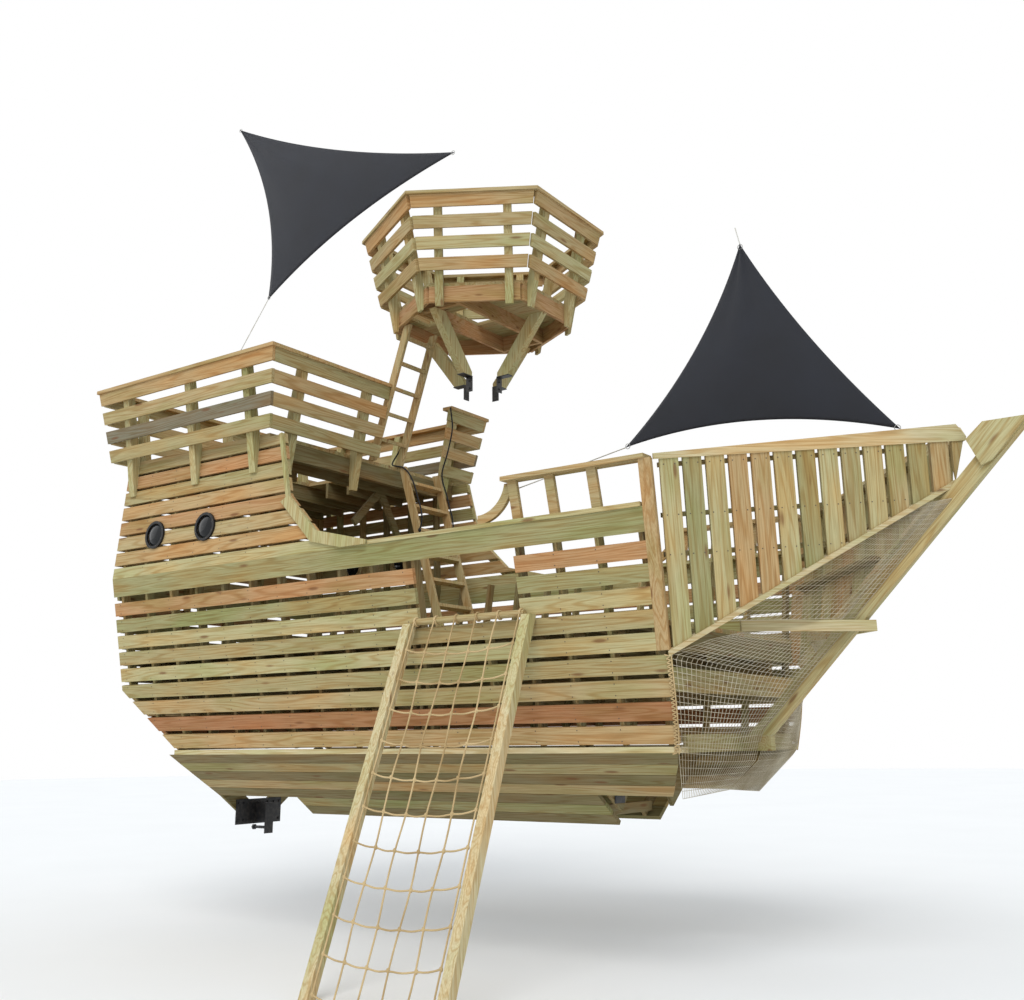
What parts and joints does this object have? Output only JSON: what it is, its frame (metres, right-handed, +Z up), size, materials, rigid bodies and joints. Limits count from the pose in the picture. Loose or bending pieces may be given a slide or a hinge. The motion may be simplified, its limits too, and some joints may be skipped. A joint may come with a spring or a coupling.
{
  "type": "ship-shaped timber tree house",
  "caption": "Boarded timber tree house shaped as a sailing ship, with cabin, crow's nest, ladders, dark sails and a rope climbing net, held up at a tree bracket.",
  "frame": {"origin": "the flat tree-side face of the aft steel bracket, at the long bolt's axis on the centreline", "axes": "+X to the bow, +Y to port, +Z up"},
  "size_m": [9.5607, 4.8376, 9.987],
  "materials": {
    "treated_timber": "matt",
    "steel": "matt",
    "sailcloth": "matt",
    "pane": "gloss",
    "porthole_ring": "satin",
    "pale_rope": "matt",
    "dark_rope": "matt",
    "pale_timber": "matt",
    "orange_timber": "matt",
    "green_timber": "matt"
  },
  "bodies": {
    "root": {"aft_bracket": "steel", "aft_sail": "sailcloth", "beak_ledges": "treated_timber", "bottom_frames": "treated_timber", "bow_beams": "treated_timber", "bow_caps": "treated_timber", "bow_corner_boards": "treated_timber", "bow_rails": "treated_timber", "bow_trims": "treated_timber", "cabin_studs": "treated_timber", "chine_boards": "treated_timber", "climbing_bar": "pale_timber", "climbing_net": "pale_rope", "climbing_rails": "pale_timber", "fore_bracket": "steel", "fore_sail": "sailcloth", "forecastle_rails": "treated_timber", "main_beams": "treated_timber", "main_deck": "treated_timber", "main_deck_joists": "treated_timber", "nest_braces": "treated_timber", "nest_brackets": "steel", "nest_cap": "green_timber", "nest_deck": "treated_timber", "nest_ladder": "treated_timber", "nest_posts": "treated_timber", "nest_rail_boards": "green_timber", "nest_rim": "orange_timber", "opening_trims": "green_timber", "poop_deck": "treated_timber", "poop_joists": "treated_timber", "poop_ladder": "treated_timber", "poop_posts": "treated_timber", "poop_rail_cap": "green_timber", "poop_rail_front": "green_timber", "poop_rail_port": "green_timber", "poop_rail_starboard": "green_timber", "poop_rail_stern": "green_timber", "port_bilge_boards": "treated_timber", "port_bow_panel": "treated_timber", "port_cabin_wall": "orange_timber", "port_hand_rope": "dark_rope", "port_hull_boards": "treated_timber", "port_ribs": "treated_timber", "porthole_panes": "pane", "porthole_rims": "porthole_ring", "sail_ropes": "pale_rope", "sheer_bands": "green_timber", "sheer_caps": "green_timber", "starboard_bilge_boards": "treated_timber", "starboard_bow_panel": "treated_timber", "starboard_cabin_wall": "orange_timber", "starboard_hand_rope": "dark_rope", "starboard_hull_boards": "treated_timber", "starboard_ribs": "treated_timber", "stem": "treated_timber", "stem_head": "treated_timber", "stern_boards": "treated_timber", "stern_studs": "treated_timber", "stern_wall": "orange_timber"}
  },
  "joints": []
}
